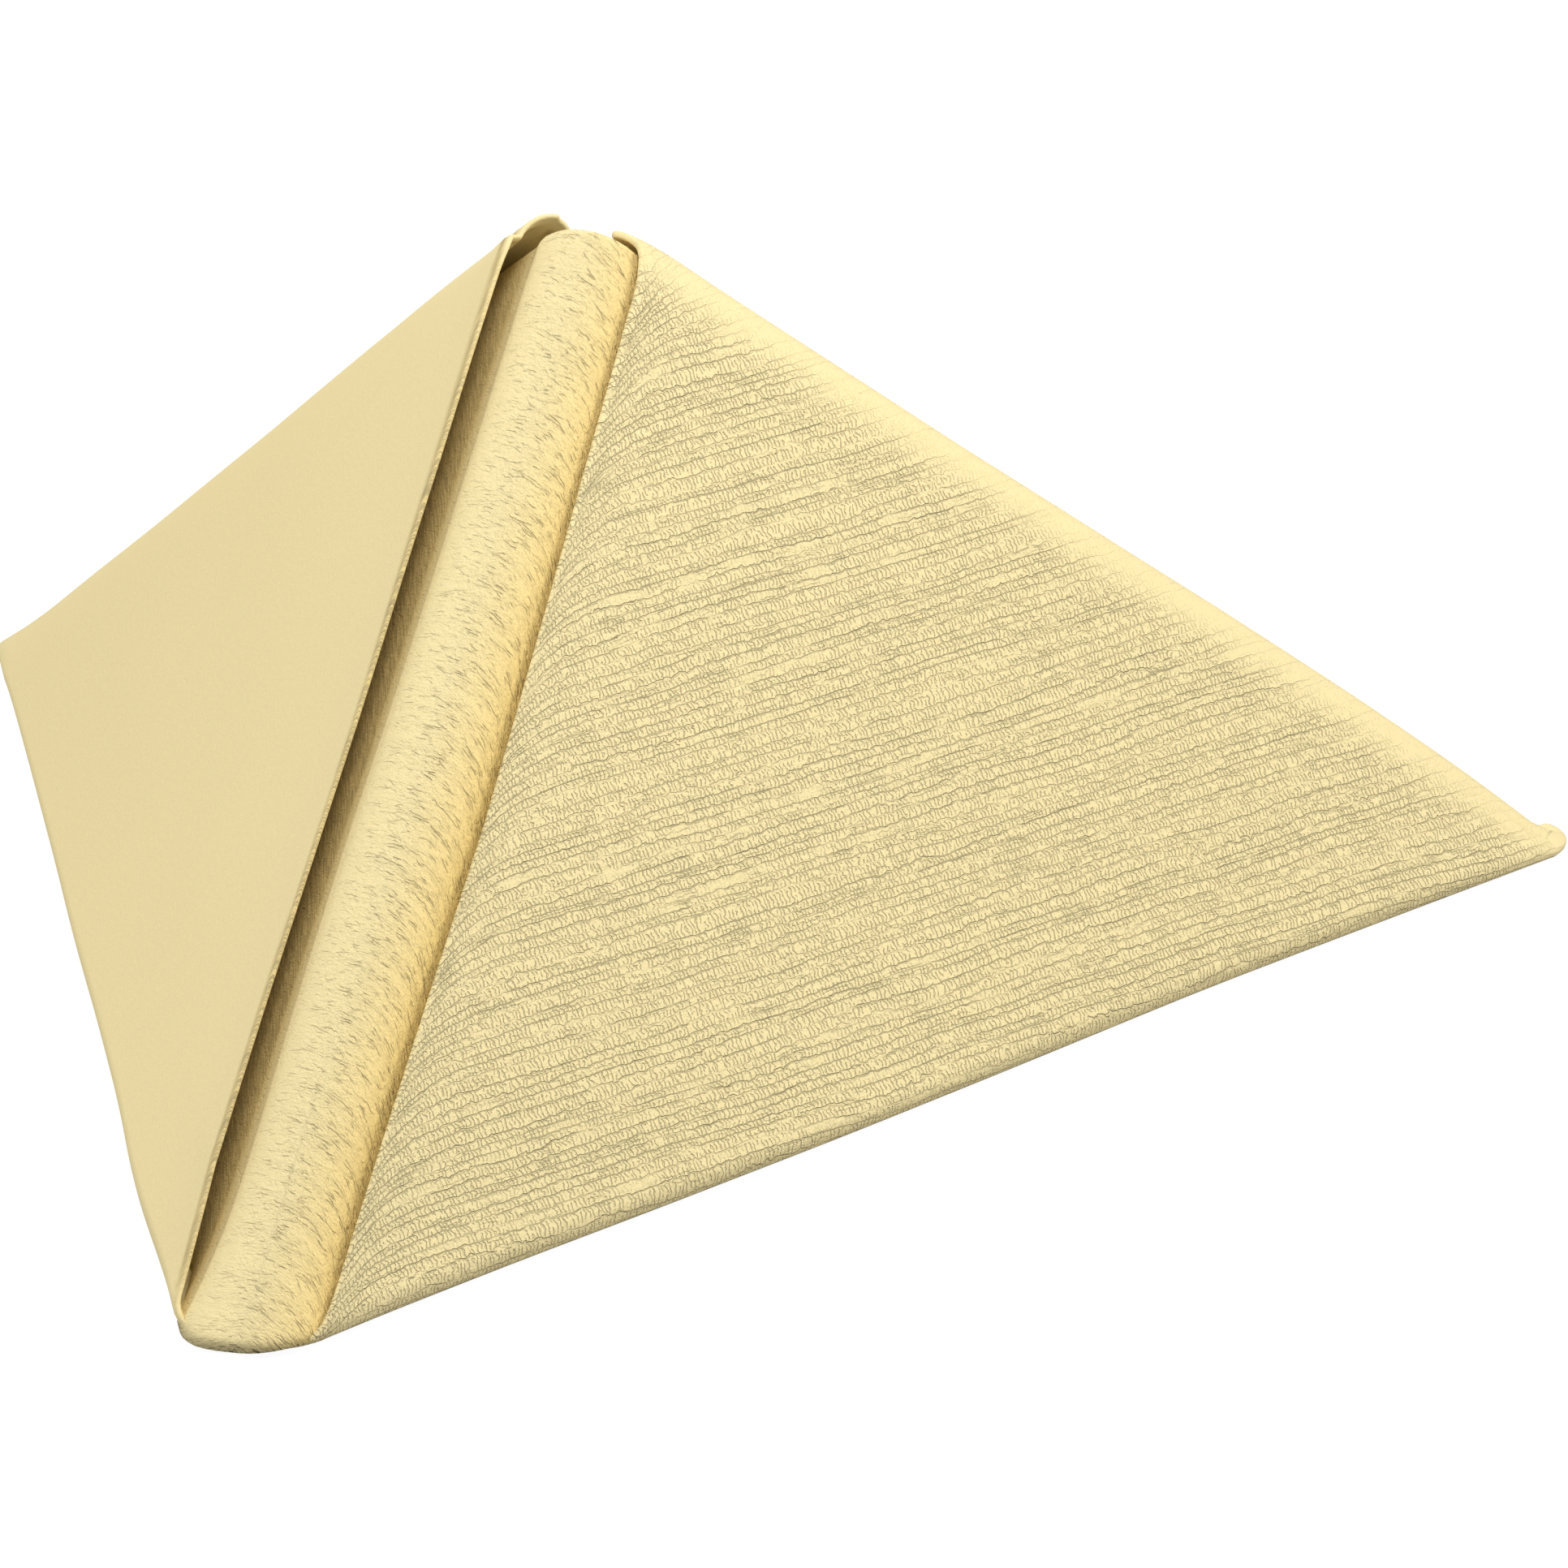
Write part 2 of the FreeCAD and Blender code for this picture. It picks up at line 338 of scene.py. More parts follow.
def makeFlap(look):
    # rows follow the top crease from the edge at the ridge to the ground, first up the inner side, then
    # over the crease and down the outer side, and last round the front corner; columns run down each row
    innerRows = 46
    creaseRows = 20
    outerRows = 96
    cornerRows = 14
    innerHem = 0.001            # how much shorter the folded-over side is than the wing
    mouthBack = 0.004           # how far down the folded-over side the mouth hangs down too
    innerLength = apexHeight / slopeSine - flapOut * leanCosine / slopeSine - rimStart - innerHem
    innerDown = innerLength * np.linspace(1, 0, innerRows + 1)[:-1]
    creaseAngle = np.radians(np.linspace(-90, 90, creaseRows + 1))[:-1]
    rowDown = np.concatenate([innerDown, -flapOut * np.cos(creaseAngle)])
    rowOut = np.concatenate([np.full(innerRows, -flapOut), flapOut * np.sin(creaseAngle)])
    rowUnrolled = np.concatenate([-np.pi * flapOut - innerDown, (creaseAngle - np.pi / 2) * flapOut])
    groundReach = (apexHeight + rowOut * leanCosine + rowDown * down[2]) / slopeSine
    outerReach = creaseLength - np.sqrt(2) * flapFoot
    foldedOver = np.clip((rowOut + flapOut) / (2 * flapOut), 0, 1)
    rowReach = groundReach * (1 - foldedOver) + outerReach * foldedOver

    # columns: close together at both ends, so that the edges come out round
    rimShares = [0, 0.0006, 0.0018, 0.0034, 0.006, 0.011]
    share = np.concatenate([rimShares, np.linspace(0.02, 0.98, 48), [0.988, 0.994, 0.998, 1.0]])

    # the mouth of the crease: its top goes on towards the ridge, opens a little and hangs down
    flareLength = 0.007         # distance from the edge over which it closes again
    dropPlace = 0.003           # where it hangs lowest, from the ridge's bend
    dropWidth = 0.0045
    driftPlaces = [0, 0.45, 0.9]
    drifts = [look["rimTop"], look["rimMiddle"], look["rimFoot"]]
    rimDrift = np.interp(rowDown / creaseLength, driftPlaces, drifts)
    rowTop = np.clip(-rowDown / flapOut, 0, 1)              # 1 along the top of the crease
    outerHalf = rowOut > 0
    turnReach = look["mouthTurn"] * outerHalf
    reach = turnReach + (look["mouthReach"] - turnReach) * rowTop ** 2
    rowStart = rimStart + rimDrift * outerHalf - reach
    mouthFall = -look["mouthDrop"] * np.where(outerHalf, rowTop, rowDown < mouthBack)
    crossing = rowStart[:, None] + (rowReach - rowStart)[:, None] * share[None, :]
    flare = 1 + look["mouthFlare"] * np.exp(-(crossing - rowStart[:, None]) / flareLength) * rowTop[:, None]
    fallen = np.where(rowDown[:, None] < 0, rowDown[:, None] * flare, rowDown[:, None])
    drop = mouthFall[:, None] * np.exp(-((crossing - dropPlace) / dropWidth) ** 2)
    opened = rowOut[:, None] * flare
    hangingPoints = apex + spread((crossing, along), (fallen, down), (opened, out), (drop, upright))
    hangingX = (creaseLength - rowUnrolled[:, None] + crossing) / np.sqrt(2)
    hangingY = (creaseLength - rowUnrolled[:, None] - crossing) / np.sqrt(2)

    # outer rows, by where they meet the ground fold, with one just before the middle line, where they end
    turnWidth = 0.0022          # distance from the crease over which the edge turns into the mouth
    leastFoot = 0.0004          # the edge keeps at least this far from the row's foot
    groundX = np.concatenate([
        np.linspace(groundEdge - flapFoot, foldStart, outerRows + 1)[:-1],
        np.linspace(foldStart, 0, cornerRows + 1)[:-1],
        [0.0001, 0.0],
    ])
    rimLine = np.sqrt(2) * rimStart
    turnX = (foldStart + flapFoot + rimLine) / 2
    rimX = np.where(groundX > foldStart, (groundX + flapFoot + rimLine) / 2, groundX * turnX / foldStart)
    frontward = np.clip(1 - rimX / turnX, 0, 1)
    lipHeight = flapFoot - fold["lip"] - fold["lipDeeper"] * frontward ** 1.5
    rimY = lipHeight + fold["rimCurve"] * np.logaddexp(0, (rimX - rimLine - lipHeight) / fold["rimCurve"])
    outerDrift = np.interp(1 - rimX * 2 / groundEdge, driftPlaces + [1], drifts + [0])
    fromCrease = np.clip(groundEdge - rimX - rimY, 0, None) / np.sqrt(2)
    outerDrift = outerDrift - look["mouthTurn"] * np.exp(-(fromCrease / turnWidth) ** 1.5)
    rimX = rimX + outerDrift / np.sqrt(2)
    rimY = rimY - outerDrift / np.sqrt(2) * np.clip((rimY - lipHeight) / 0.01, 0, 1)
    footY = np.minimum(flapFoot, rimY - leastFoot)
    outerX = rimX[:, None] + (groundX - rimX)[:, None] * share[None, :]
    outerY = rimY[:, None] + (footY - rimY)[:, None] * share[None, :]
    outerPoints = flapSurface(outerX, outerY)

    # the ground fold carries on from the last column of the outer rows
    bandFoot = flapFoot - bandLengths[3]
    bandY = footY[:, None] + (bandFoot - footY)[:, None] * (bandStations[1:] / bandLengths[3])
    bandPoints = flapSurface(groundX[:, None] + 0 * bandY, bandY)

    # round the tip the fold's section turns about an upright axis, below the end of the crease
    tipTurn = np.pi / 2 - creaseAngle
    tipAxis = (groundX[0] + look["tipReach"] * np.sin(tipTurn / 2) ** 2)[:, None] * edge
    tipWay = spread((np.cos(tipTurn), levelOut), (np.sin(tipTurn), edge))
    tipHeight = halfLeaf + (bandHeight - halfLeaf) * (1 - look["tipFlat"] * np.sin(tipTurn))[:, None]
    tipRound = tipAxis[:, None] + spread((tipHeight, upright)) + bandOutward[:, None] * tipWay[:, None]
    creaseEnd = hangingPoints[innerRows:, -1]
    blend = smoothStep(np.clip(bandStations / bandLengths[1], 0, 1))[:, None]
    tipPoints = (creaseEnd[:, None] * (1 - blend) + tipRound * blend)[:, 1:]
    bandPoints = np.concatenate([tipPoints, bandPoints])
    bandY = np.concatenate([flapFoot - bandStations[1:] + 0 * tipTurn[:, None], bandY])
    groundX = np.concatenate([groundX[0] + 0.003 * (1 - np.sin(creaseAngle)), groundX])
    bandX = groundX[:, None] + 0 * bandY

    mainPoints = np.concatenate([hangingPoints, outerPoints])
    mainX = np.concatenate([hangingX, outerX])
    mainY = np.concatenate([hangingY, outerY])
    rows, columns = mainX.shape
    mainIndex = np.arange(rows * columns).reshape(rows, columns)
    bandIndex = rows * columns + np.arange(bandX.size).reshape(bandX.shape)
    bandIndex = np.concatenate([mainIndex[innerRows:, -1:], bandIndex], 1)
    quads = np.concatenate([gridQuads(mainIndex), gridQuads(bandIndex)])
    points = np.concatenate([mainPoints.reshape(-1, 3), bandPoints.reshape(-1, 3)])
    x = np.concatenate([mainX.ravel(), bandX.ravel()])
    y = np.concatenate([mainY.ravel(), bandY.ravel()])

    # half thickness, which ends at nothing on each free edge, so that the leaf is closed there
    thinWidth = 0.0022
    rimDistance = np.linalg.norm(mainPoints - mainPoints[:, :1], axis=-1)
    endDistance = np.linalg.norm(mainPoints - mainPoints[:, -1:], axis=-1)
    endDistance[innerRows:] = 1
    mainHalf = np.minimum(roundedEdge(rimDistance, look["bead"]), roundedEdge(endDistance))
    mainHalf = mainHalf * (1 - look["rimThin"] * np.exp(-(rimDistance / thinWidth) ** 2))
    mainHalf[0] = 0
    mainHalf[-1] = 0
    mainHalf[innerRows, -1] = 0
    bandHalf = np.full(bandX.shape, halfLeaf)
    bandHalf[0] = 0
    bandHalf[-1] = 0
    bandHalf[:, -1] = 0
    half = np.concatenate([mainHalf.ravel(), bandHalf.ravel()])

    # broad waves and the lifted edge, along the leaf's normals; both come to rest near the ground, and the
    # waves near the tip and the corner too
    broadWave = 0.045
    smallWave = 0.020
    restHeight = 0.02
    restTip = 0.03
    restCorner = 0.02
    restLift = 0.012
    normals = surfaceNormals(points, quads)
    spine = (x - y) / np.sqrt(2) - rimStart                 # distance from the flap's edge
    outerSide = x + y <= groundEdge
    calm = np.clip(y / restHeight, 0, 1)
    calm = calm * np.clip((groundEdge - x) / restTip, 0, 1) * np.clip((x - foldStart) / restCorner, 0, 1)
    wave = smoothNoise(x, y, broadWave, look["seed"]) * 0.7
    wave = wave + smoothNoise(x + 0.3, y, smallWave, look["seed"] + 1) * 0.3
    lift = look["lift"] * np.exp(-np.clip(spine, 0, None) / look["liftWidth"])
    lift = lift * np.clip(y / restLift, 0, 1) * outerSide
    points = points + normals * (wave * look["wave"] * calm + lift)[:, None]

    # at the front corner the fold lies flatter and goes in under the strip's foot
    cornerFull = 0.004          # up to here along the ground edge
    cornerFade = 0.018          # and gone this much further on
    cornerHeight = 0.009
    crownWidth = 0.0045
    corner = smoothStep(1 - np.clip((points @ edge - cornerFull) / cornerFade, 0, 1))
    near = np.exp(-(points[:, 2] / cornerHeight) ** 2)
    points[:, 2] = halfLeaf + (points[:, 2] - halfLeaf) * (1 - look["cornerFlat"] * corner * near)
    crown = smoothStep(1 - np.clip(points[:, 0] / crownWidth, 0, 1))
    points[:, 1] += look["cornerTuck"] * crown * near
    flip = np.array([look["side"], 1, 1])
    points = settlePoints(points * flip, look["side"]) * flip

    # the lines fan out a little over the flap, and fade towards the crest and on the folded-over side; the
    # painted warm light and the painted shade lie along the flap's edge
    rimWidth = 0.0007
    rimFade = 0.004
    leastLines = 0.12
    sweep = look["sweep"] * np.exp(-np.clip(spine, 0, None) / look["sweepWidth"])
    lineX, lineY = (x, y + look["skew"] * x + sweep) if look["side"] > 0 else (y, x)
    toCrest = (groundEdge - x - y) / np.sqrt(2)
    fade = leastLines + (1 - leastLines) * smoothStep(np.clip(toCrest / look["fadeWidth"], 0, 1))
    alongRim = (x + y) / np.sqrt(2)
    atRim = np.clip(1.5 - np.abs(spine) / rimWidth, 0, 1) * np.clip(y / rimFade, 0, 1)
    values = {
        "lineX": lineX,
        "lineY": lineY,
        "lines": look["lines"] * fade,
        "crinkle": look["crinkle"] * (0.4 + 0.6 * fade),
        "ladder": look["ladder"] * fade,
        "paintedWarmLight": look["rimWarmLight"] * atRim,
        "creases": 0 * fade,
        "shade": look["rimShade"] * atRim,
        "streakX": 1.1 * alongRim + 1.9 * spine,
        "streakY": 0.87 * alongRim - 0.5 * spine,
    }
    points, quads, values = thicken(points, quads, half, values)
    if look["side"] < 0:
        points = points * mirrorX
        quads = quads[:, ::-1]
    return points, quads, values


# what a user would change in the base, lengths in metres
base = {
    "wingShare": 0.972,        # how much of the top crease's length it fills
    "footHeight": 0.0011,      # how far above the ground its outer leaf ends, inside the ground fold
    "stripFoot": 0.0003,       # the same for the strip at the front
    "stripFlare": 0.0004,      # how far the strip's foot stands out in front
    "leftFlare": 0.0029,       # at its left
    "rightFlare": 0.0018,      # and at its right
    "stripTop": 0.0010,        # how far the strip's top edge stands up
    "warmLightRight": 0.95,         # how much painted warm light lies in the strip's right fold, where light bounces between the layers and shines through them
    "warmLightLeft": 0.15,          # and in its left fold
    "shadeLeft": 0.62,         # how much painted shadow darkens it there
    "shadeStart": 0.0076,      # from this far to the left of the ridge's middle
    "squareLeft": 0.0003,      # how far the strip's left shoulder stands out over a round one
    "raiseRight": 0.00115,     # how far its right side is raised towards the flap's edge
    "crinkle": 0.95,           # depth of the crinkle
}


def makeBase():
    # columns go across the ridge from one wing's tip to the other's; rows go up the outer leaf, over the
    # top crease and down the inner leaf
    wingColumns = 36
    ridgeColumns = 36
    outerRows = 84
    creaseRows = 8
    innerRows = 44
    underFlap = 0.006           # how far in under the flaps the strip's close columns go
    bendHalf = middleRadius * halfTurn
    wingEnd = bendHalf + creaseLength * base["wingShare"] - bendStart
    ridgeEdge = bendHalf + fold["flapSetback"] + underFlap
    wingPart = np.linspace(ridgeEdge, wingEnd, wingColumns + 1)[1:]
    ridgePart = np.linspace(-ridgeEdge, ridgeEdge, ridgeColumns + 1)
    across = np.concatenate([-wingPart[::-1], ridgePart, wingPart])
    angle = np.clip(across, -bendHalf, bendHalf) / middleRadius
    past = np.clip(np.abs(across) - bendHalf, 0, None)
    right = (across > 0)[:, None]
    alongHere = np.where(right, along, along * mirrorX)
    ridgeUp = np.array([0, -slopeSine, slopeCosine])
    outHere = np.cos(angle)[:, None] * ridgeUp + np.sin(angle)[:, None] * np.array([1.0, 0, 0])
    axisPoint = apex + along * bendStart - out * middleRadius

    creaseAngle = np.radians(np.linspace(90, -90, creaseRows + 1))
    share = np.linspace(1, 0, outerRows + 1)[:-1]
    innerShare = np.linspace(0, 1, innerRows + 1)[1:]

    def crestHeight(outDistance):
        return (axisPoint + outHere * (middleRadius + outDistance) + alongHere * past[:, None])[:, 2]

    stripHalf = 0.007           # half of the strip's width
    stripFade = 0.006           # and the distance over which it gives way to the part under the flaps
    beside = np.clip((np.abs(across) - stripHalf) / stripFade, 0, 1)
    footAbove = base["stripFoot"] + (base["footHeight"] - base["stripFoot"]) * beside
    outerEnd = (crestHeight(baseOut) - footAbove) / slopeSine
    innerEnd = crestHeight(-baseOut) / slopeSine
    rowDown = np.concatenate([
        share[:, None] * outerEnd,
        -baseOut * np.cos(creaseAngle)[:, None] + 0 * across,
        innerShare[:, None] * innerEnd,
    ])
    rowOut = np.concatenate([
        np.full((len(share), len(across)), baseOut),
        baseOut * np.sin(creaseAngle)[:, None] + 0 * across,
        np.full((len(innerShare), len(across)), -baseOut),
    ])
    unrolled = np.concatenate([
        share[:, None] * outerEnd,
        (creaseAngle[:, None] - np.pi / 2) * baseOut + 0 * across,
        -np.pi * baseOut - innerShare[:, None] * innerEnd,
    ])
    leftTurn = np.clip(-angle / halfTurn, 0, 1)
    rightTurn = np.clip(angle / halfTurn, 0, 1)
    riseWidth = 0.0085
    rightRise = smoothStep(rightTurn) * np.exp(-(past / riseWidth) ** 2)
    shoulder = base["squareLeft"] * np.sin(np.pi * leftTurn ** 1.7) + base["raiseRight"] * rightRise
    shoulder = shoulder * np.clip(rowOut / baseOut, 0, 1)
    fromAxis = middleRadius + rowOut + shoulder
    points = (axisPoint + alongHere * past[:, None])[None] + outHere[None] * fromAxis[..., None]
    points = points + rowDown[..., None] * down
    level = outHere * np.array([1.0, 1.0, 0.0])
    flareTurn = 0.65            # share of the bend at which the foot has its flare at the sides
    flareHeight = 0.005
    topHeight = 0.010
    toSide = smoothStep(np.clip(np.abs(angle) / halfTurn / flareTurn, 0, 1))
    sideFlare = np.where(angle < 0, base["leftFlare"], base["rightFlare"])
    flare = base["stripFlare"] + (sideFlare - base["stripFlare"]) * toSide
    flare = flare * np.exp(-np.clip(points[..., 2], 0, None) / flareHeight) * (1 - beside)
    points = points + flare[..., None] * level
    overRidge = np.cos(np.clip(angle / halfTurn, -1, 1) * np.pi / 2)
    points[..., 2] += base["stripTop"] * np.exp(-np.clip(rowDown, 0, None) / topHeight) * overRidge
    flatPoints = points.reshape(-1, 3)
    toRight = flatPoints[:, :1] > 0
    flatPoints = np.where(toRight, settlePoints(flatPoints, 1), settlePoints(flatPoints, -1))
    # painted warm light: light bounced between the paper's layers and shone through them, strongest in the
    # strip's right fold
    rightWarmLight = np.clip((across - 0.0005) / 0.0080, 0, 1)           # from the middle to the right fold
    leftWarmLight = np.clip((-across - 0.0060) / 0.002, 0, 1)            # in the left fold only
    paintedWarmLight = base["warmLightRight"] * rightWarmLight ** 1.3 + base["warmLightLeft"] * leftWarmLight
    rows, columns = rowDown.shape
    index = np.arange(rows * columns).reshape(rows, columns)
    quads = gridQuads(index)[:, ::-1]
    half = np.full((rows, columns), halfLeaf)
    half[0] = half[-1] = 0
    half[:, 0] = half[:, -1] = 0
    # the strip's creases lie across it in its middle, and turn down along it towards its right side
    crossing = across + 0 * unrolled
    slope = 0.22 * crossing + 87.5 * np.clip(crossing, 0, 0.012) ** 2
    lineX = crossing + 0.3 * unrolled
    lineY = unrolled - slope
    rightPart = np.clip((crossing + 0.004) / 0.006, 0, 1)
    # the painted shadow in the left fold is wider, softer and lighter towards the top
    towardsTop = np.exp(-np.clip(unrolled, 0, None) / 0.012)
    shadeWidth = 0.0006 + 0.0014 * towardsTop
    shade = np.clip((-crossing - base["shadeStart"] + 0.0016 * towardsTop) / shadeWidth, 0, 1)
    shade = base["shadeLeft"] * shade * (1 - 0.35 * towardsTop)
    values = {
        "lineX": lineX.ravel(),
        "lineY": lineY.ravel(),
        "lines": np.zeros(rows * columns),
        "crinkle": (base["crinkle"] * (0.35 + 0.65 * rightPart)).ravel(),
        "ladder": np.zeros(rows * columns),
        "paintedWarmLight": np.broadcast_to(paintedWarmLight, (rows, columns)).ravel().copy(),
        "creases": (0.25 + 0.75 * rightPart).ravel(),
        "shade": shade.ravel(),
        "streakX": ((crossing * 0.92 - unrolled * 0.59) / 1.09).ravel(),
        "streakY": ((crossing * 0.59 + unrolled * 0.92) / 1.09).ravel(),
    }
    return thicken(flatPoints, quads, half.ravel(), values)


def addMesh(name, points, quads, values):
    mesh = bpy.data.meshes.new(name)
    mesh.vertices.add(len(points))
    mesh.vertices.foreach_set("co", points.astype(np.float32).ravel())
    mesh.loops.add(quads.size)
    mesh.loops.foreach_set("vertex_index", quads.astype(np.int32).ravel())
    mesh.polygons.add(len(quads))
    mesh.polygons.foreach_set("loop_start", np.arange(0, quads.size, 4, dtype=np.int32))
    mesh.polygons.foreach_set("use_smooth", np.ones(len(quads), bool))
    mesh.update(calc_edges=True)
    uv = mesh.uv_layers.new(name="sheetLines")
    flat = np.stack([values["lineX"], values["lineY"]], 1)[quads.ravel()]
    uv.data.foreach_set("uv", flat.astype(np.float32).ravel())
    for key in ("lines", "crinkle", "ladder", "paintedWarmLight", "creases", "shade", "streakX", "streakY"):
        attribute = mesh.attributes.new(key, "FLOAT", "POINT")
        attribute.data.foreach_set("value", values[key].astype(np.float32))
    thing = bpy.data.objects.new(name, mesh)
    bpy.context.scene.collection.objects.link(thing)
    return thing


pieces = [makeFlap(flaps["right"]), makeFlap(flaps["left"]), makeBase()]
counts = np.cumsum([0] + [len(piece[0]) for piece in pieces])
sheetPoints = np.concatenate([piece[0] for piece in pieces]) + originShift
sheetPoints[:, 2] = np.maximum(sheetPoints[:, 2], 0.0)      # nothing goes under the table
sheetQuads = np.concatenate([piece[1] + start for piece, start in zip(pieces, counts)])
sheetValues = {key: np.concatenate([piece[2][key] for piece in pieces]) for key in pieces[0][2]}
napkin = addMesh("napkinSheet", sheetPoints, sheetQuads, sheetValues)
print("sheet made:", len(sheetQuads), "faces")


# what a user would change in the paper; its spacings and widths are in millimetres on the flat sheet
paper = {
    "colour": (0.85, 0.715, 0.378),
    "warmLightColour": (1.0, 0.68, 0.18),       # painted light, where it comes through the strip's folds and bounces in them
    "shadeColour": (0.33, 0.265, 0.13),    # painted shadow in the fold at the strip's left, and painted shade along the left flap's edge
    "grooveShadeColour": (0.55, 0.42, 0.20),    # painted shade in the grooves
    "grooveShadeShare": 0.18,                    # how much of that shade they take
    "roughness": 0.88,
    "specular": 0.25,
    "reliefHeight": 0.00040,               # metres
    "bend": 1.3,                           # how far the lines bend, shake and bunch
    "jitter": 0.62,
    "drift": 1.5,
    "rowSpacing": 1.12,                    # from one long line to the next
    "lineWidth": 0.11,                     # half of a long line's width
    "lineDepth": 0.95,                     # depths are shares of the relief's height
    "fineSpacing": 0.62,                   # the fine lines between them
    "fineLength": 14.0,
    "fineDepth": 0.26,
    "ladderSpacing": 0.57,                 # from one short mark to the next in a row
    "ladderDepth": 0.66,
    "slubSpacing": 17.0,                   # the long creases that cross the lines
    "slubDepth": 0.24,
    "creaseDepth": 0.50,                   # the strip's short creases
    "crumpleDepth": 0.85,
    "grainDepth": 0.45,
}


def makePaper():
    # the embossed crepe: long wavy grooves along one side of the sheet, rows of short slanted marks between
    # them, a few long creases across, and a fine crinkle, all on the sheet's own coordinates, with masks
    # from the mesh that say how deep each of them is
    material = bpy.data.materials.new("embossedPaper")
    material.use_nodes = True
    nodes, links = material.node_tree.nodes, material.node_tree.links
    shader = nodes["Principled BSDF"]

    def math(operation, a, b=None, c=None, clamp=False):
        node = nodes.new("ShaderNodeMath")
        node.operation = operation
        node.use_clamp = clamp
        for socket, value in zip(node.inputs, (a, b, c)):
            if value is None:
                continue
            if isinstance(value, (int, float)):
                socket.default_value = value
            else:
                links.new(value, socket)
        return node.outputs[0]

    def pair(u, v):
        node = nodes.new("ShaderNodeCombineXYZ")
        links.new(u, node.inputs[0])
        links.new(v, node.inputs[1])
        return node.outputs[0]

    def cells(u, v, cellU, cellV):
        return pair(math("DIVIDE", u, cellU), math("DIVIDE", v, cellV))

    def noise(u, v, cellU, cellV, detail=2.0, roughness=0.5):
        # cellU and cellV are the size of its cells in millimetres
        node = nodes.new("ShaderNodeTexNoise")
        node.noise_dimensions = "2D"
        node.inputs["Scale"].default_value = 1.0
        node.inputs["Detail"].default_value = detail
        node.inputs["Roughness"].default_value = roughness
        links.new(cells(u, v, cellU, cellV), node.inputs["Vector"])
        return node.outputs[0]

    def cracks(u, v, cellU, cellV, width):
        # 1 in a crack between cells that are far longer than they are high, and 0 away from it
        node = nodes.new("ShaderNodeTexVoronoi")
        node.voronoi_dimensions = "2D"
        node.feature = "DISTANCE_TO_EDGE"
        node.inputs["Scale"].default_value = 1.0
        links.new(cells(u, v, cellU, cellV), node.inputs["Vector"])
        return math("SUBTRACT", 1.0, math("DIVIDE", node.outputs["Distance"], width, clamp=True), clamp=True)

    def mapRange(value, low, high, toLow=0.0, toHigh=1.0):
        node = nodes.new("ShaderNodeMapRange")
        node.interpolation_type = "SMOOTHSTEP"
        links.new(value, node.inputs["Value"])
        node.inputs["From Min"].default_value = low
        node.inputs["From Max"].default_value = high
        node.inputs["To Min"].default_value = toLow
        node.inputs["To Max"].default_value = toHigh
        return node.outputs["Result"]

    def randomOf(value):
        node = nodes.new("ShaderNodeTexWhiteNoise")
        node.noise_dimensions = "1D"
        links.new(value, node.inputs["W"])
        return node.outputs["Value"]

    def attribute(name):
        node = nodes.new("ShaderNodeAttribute")
        node.attribute_name = name
        return node.outputs["Fac"]

    uvMap = nodes.new("ShaderNodeUVMap")
    uvMap.uv_map = "sheetLines"
    split = nodes.new("ShaderNodeSeparateXYZ")
    links.new(uvMap.outputs[0], split.inputs[0])
    u = math("MULTIPLY", split.outputs[0], 1000.0)
    v = math("MULTIPLY", split.outputs[1], 1000.0)
    lineDepth, crinkleDepth, ladderDepth = attribute("lines"), attribute("crinkle"), attribute("ladder")

    # where the lines run: straight along u, but for a bend, a jitter and a drift that bunches them
    bend = math("SUBTRACT", noise(u, v, 18.0, 9.0, 2.0), 0.5)
    jitter = math("SUBTRACT", noise(u, v, 1.2, 0.9, 2.0), 0.5)
    drift = math("SUBTRACT", noise(u, v, 80.0, 2.4, 1.0), 0.5)
    shake = math("MULTIPLY", jitter, paper["jitter"])
    wavy = math("ADD", math("MULTIPLY_ADD", bend, paper["bend"], v), shake)
    wavy = math("MULTIPLY_ADD", drift, paper["drift"], wavy)

    # the lines lie between rows, each with its own depth, and fade out here and there
    place = math("DIVIDE", wavy, paper["rowSpacing"])
    nearest = math("ROUND", place)
    gap = math("MULTIPLY", math("ABSOLUTE", math("SUBTRACT", place, nearest)), paper["rowSpacing"])
    lineDepths = mapRange(randomOf(nearest), 0.0, 0.7, 0.42, 1.0)
    lineBreaks = mapRange(noise(u, v, 9.0, 1.1), 0.34, 0.50, 0.25, 1.0)
    lineShape = mapRange(gap, 0.02, paper["lineWidth"], 1.0, 0.0)
    longLines = math("MULTIPLY", lineShape, math("MULTIPLY", lineDepths, lineBreaks))
    fineLines = cracks(u, wavy, paper["fineLength"], paper["fineSpacing"], 0.12)
    fineLines = math("MULTIPLY", fineLines, mapRange(noise(v, u, 1.6, 5.0), 0.42, 0.66, 0.0, 1.0))

    # each row is stitched with short curved marks, which start anew in each row
    row = math("FLOOR", place)
    inRow = math("SUBTRACT", place, row)
    rowRandom = randomOf(math("ADD", row, 0.37))
    middle = math("SUBTRACT", inRow, 0.5)
    curve = math("MULTIPLY", math("MULTIPLY", middle, middle), 0.55)
    slant = math("ADD", math("MULTIPLY_ADD", middle, 0.14, u), curve)
    slant = math("MULTIPLY_ADD", jitter, 0.9, slant)
    turns = math("MULTIPLY_ADD", slant, 1 / paper["ladderSpacing"], math("MULTIPLY", rowRandom, 7.0))
    rungs = math("ABSOLUTE", math("SINE", math("MULTIPLY", turns, np.pi)))
    rungs = mapRange(rungs, 0.10, 0.55, 1.0, 0.0)
    window = mapRange(math("ABSOLUTE", middle), 0.28, 0.46, 1.0, 0.0)
    rows = mapRange(math("MULTIPLY_ADD", noise(u, v, 6.0, 3.0, 1.0), 1.4, rowRandom), 0.45, 1.0, 0.2, 1.0)
    broken = mapRange(noise(u, v, 0.9, 0.9, 1.0), 0.30, 0.52)
    ladder = math("MULTIPLY", math("MULTIPLY", rungs, window), math("MULTIPLY", rows, broken))

